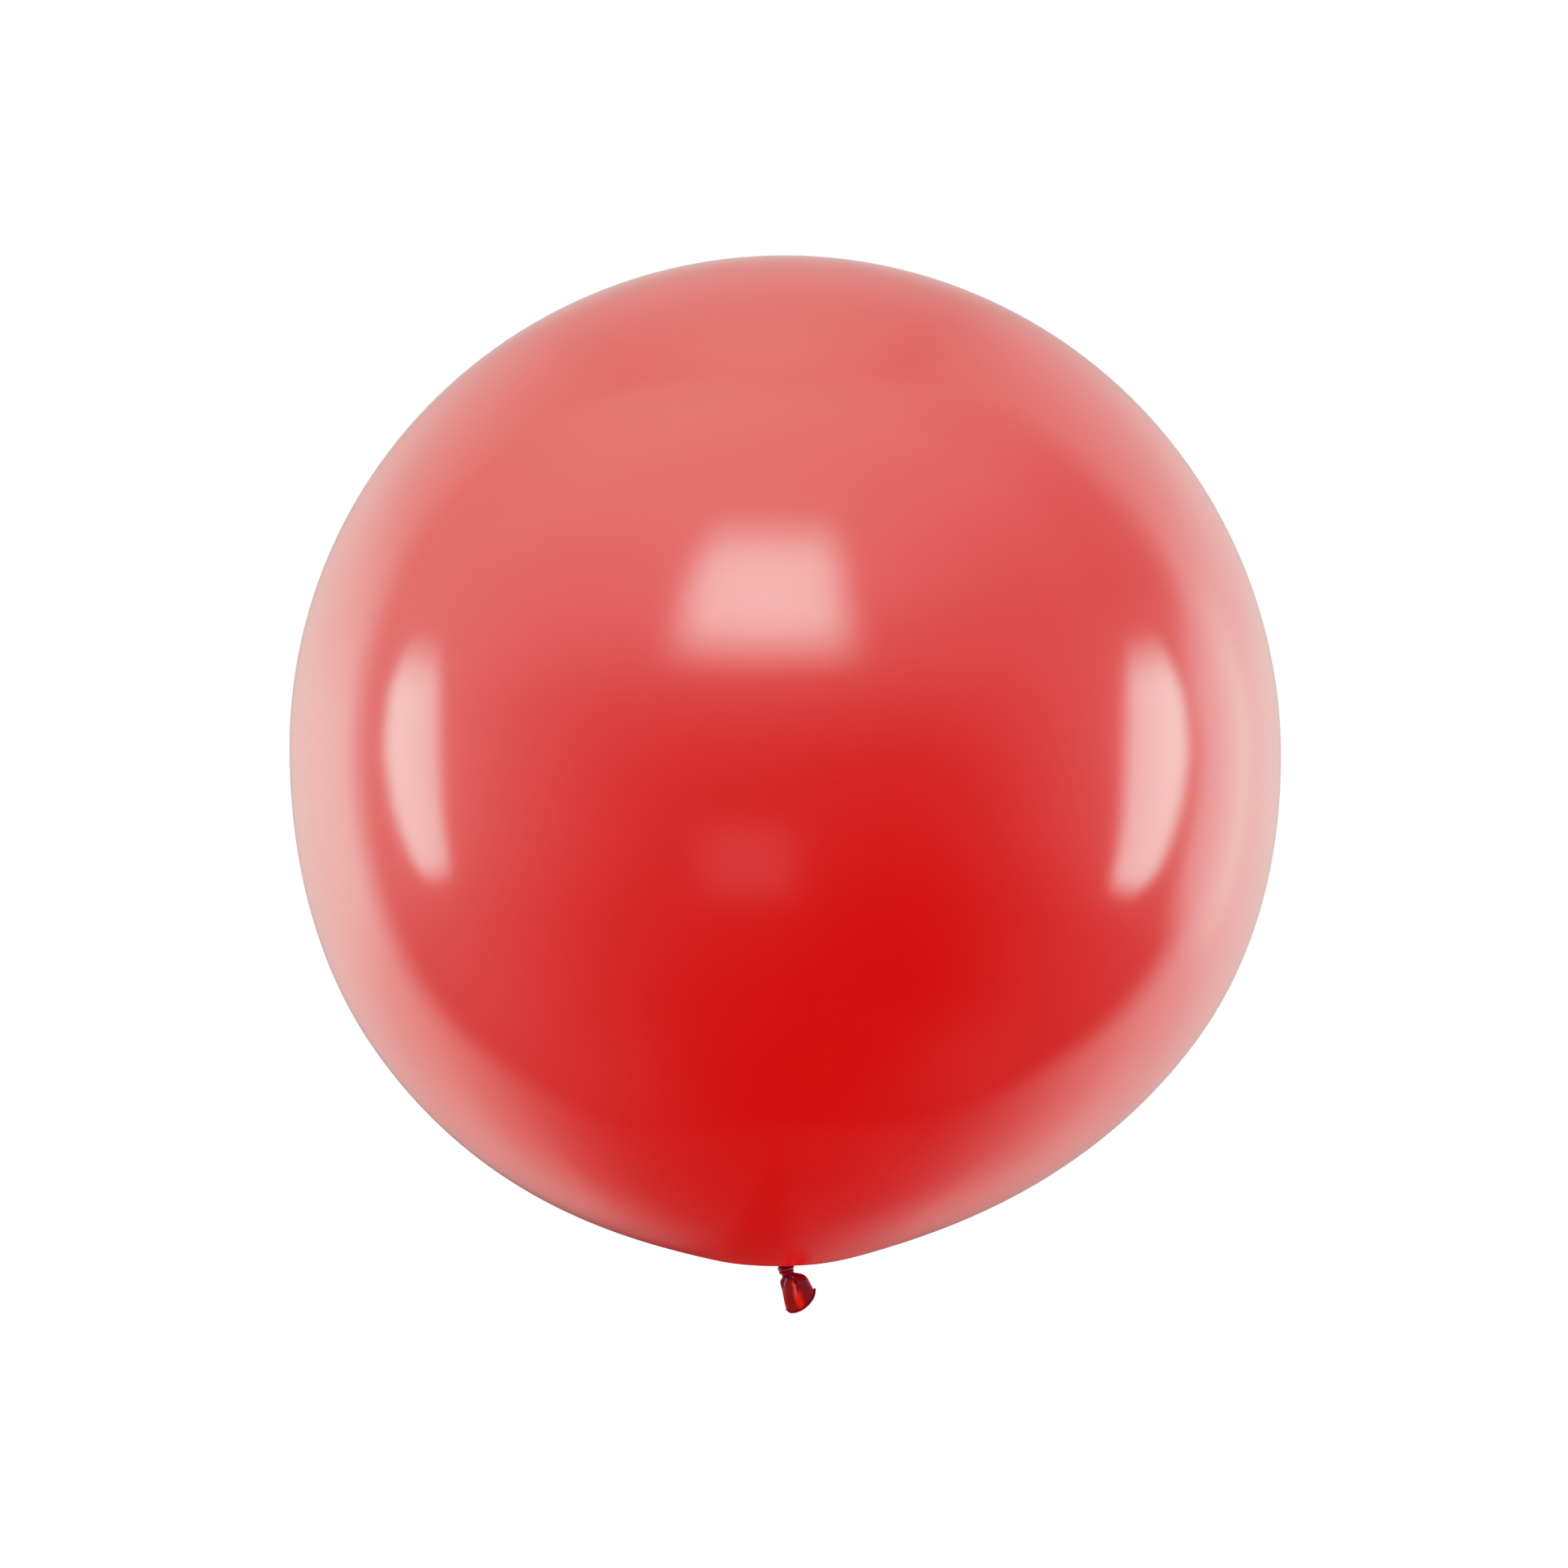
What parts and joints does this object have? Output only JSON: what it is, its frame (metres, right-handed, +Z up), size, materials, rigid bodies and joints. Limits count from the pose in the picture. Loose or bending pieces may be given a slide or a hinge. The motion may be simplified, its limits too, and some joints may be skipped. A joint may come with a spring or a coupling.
{
  "type": "latex balloon",
  "caption": "Large round latex balloon, inflated and tied off, with a knotted neck and a loose, flattened tail ending in a rolled lip.",
  "frame": {"origin": "tie point: the centre of the neck, between the envelope's underside and the knot, where a ribbon is tied", "axes": "+Z up through the middle of the envelope, +X towards the side that the tail leans to, the front faces -Y"},
  "size_m": [0.9995, 0.9996, 1.0699],
  "materials": {
    "envelope_latex": "glossy stretched latex, slightly translucent",
    "neck_latex": "glossy unstretched latex, deep red"
  },
  "bodies": {
    "envelope": {"envelope": "envelope_latex", "neck_shoulder": "envelope_latex"},
    "neck": {"neck_stem": "neck_latex"},
    "knot": {"knot_bight": "neck_latex", "knot_wrap": "neck_latex", "knot_core": "neck_latex"},
    "throat": {"tail_throat": "neck_latex"},
    "tail": {"tail_sleeve": "neck_latex", "lip_bead": "neck_latex"}
  },
  "joints": [
    {"name": "neck_twist", "type": "hinge", "parent": "envelope", "child": "neck", "pos_m": [0, 0, 0], "axis": [0, 0, 1], "range_deg": [-90, 90], "stiffness_Nm_per_rad": 0.05},
    {"name": "neck_sway", "type": "hinge", "parent": "neck", "child": "knot", "pos_m": [0, 0, -0.0005], "axis": [0, 1, 0], "range_deg": [-15, 15], "stiffness_Nm_per_rad": 0.1},
    {"name": "tail_nod", "type": "hinge", "parent": "knot", "child": "throat", "pos_m": [0.004, 0, -0.0132], "axis": [1, 0, 0], "range_deg": [-35, 35], "stiffness_Nm_per_rad": 0.03},
    {"name": "tail_sway", "type": "hinge", "parent": "throat", "child": "tail", "pos_m": [0.004, 0, -0.0132], "axis": [0, 1, 0], "range_deg": [-15, 35], "stiffness_Nm_per_rad": 0.03}
  ]
}
